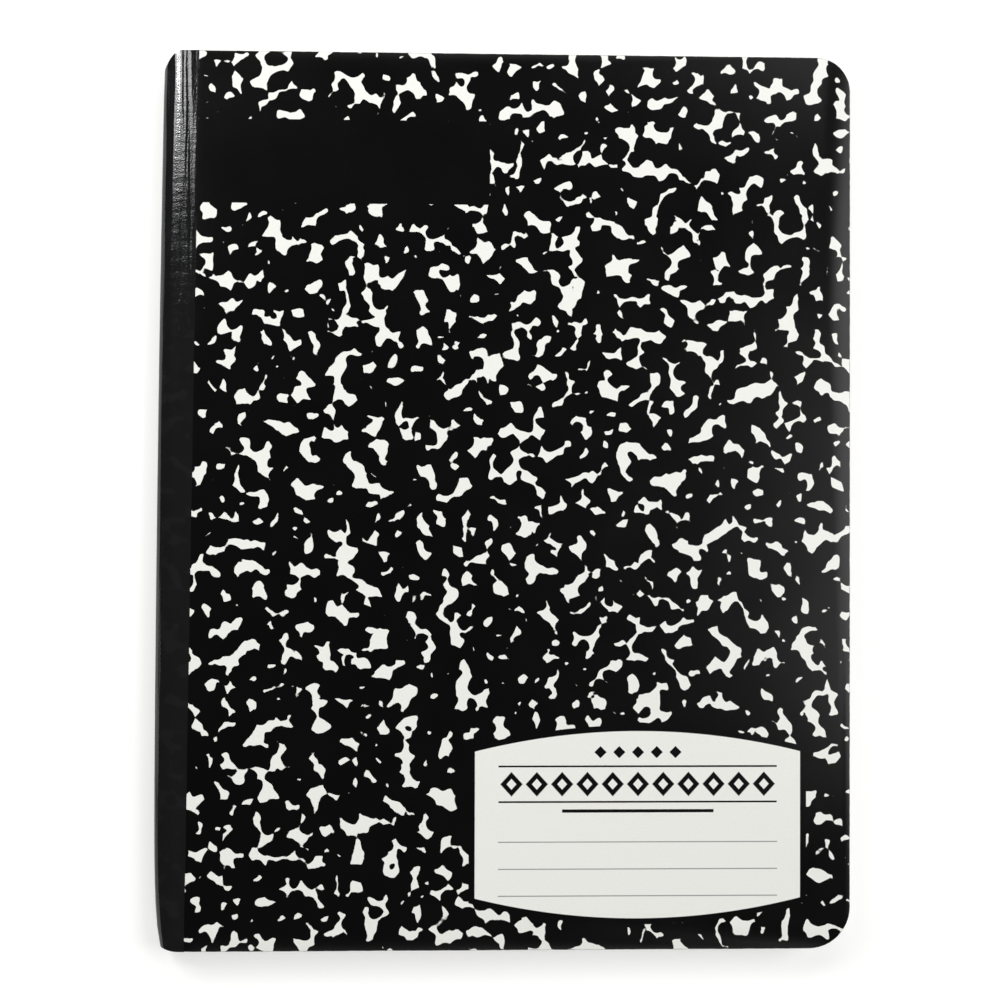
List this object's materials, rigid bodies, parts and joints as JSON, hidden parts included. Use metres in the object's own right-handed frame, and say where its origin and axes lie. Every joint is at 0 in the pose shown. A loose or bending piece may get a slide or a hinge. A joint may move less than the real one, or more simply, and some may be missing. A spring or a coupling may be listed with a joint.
{
  "type": "composition notebook",
  "caption": "Closed composition notebook: one block of sewn leaves in a marbled black and white card cover, taped at the spine, with rounded fore corners. Both covers open.",
  "frame": {"origin": "middle of the base, under the back cover", "axes": "+X from the spine to the fore edge, +Y from the tail to the head, +Z from the back cover to the front cover"},
  "size_m": [0.1905, 0.2476, 0.0092],
  "materials": {
    "leaves": "uncoated ruled writing paper",
    "cover_card": "satin varnished black and white marbled print",
    "tape": "charcoal coated tape, semi-gloss",
    "thread": "white cotton"
  },
  "bodies": {
    "pages": {"page_block": "leaves", "sewing_thread": "thread", "cover_spine": "cover_card", "spine_tape": "tape"},
    "front": {"front_cover": "cover_card", "front_tape": "tape"},
    "back": {"back_cover": "cover_card", "back_tape": "tape"}
  },
  "joints": [
    {"name": "front_hinge", "type": "hinge", "parent": "pages", "child": "front", "pos_m": [-0.0904, 0, 0.0093], "axis": [0, -1, 0], "range_deg": [0, 180]},
    {"name": "back_hinge", "type": "hinge", "parent": "pages", "child": "back", "pos_m": [-0.0904, 0, -0.0001], "axis": [0, 1, 0], "range_deg": [0, 180]}
  ]
}
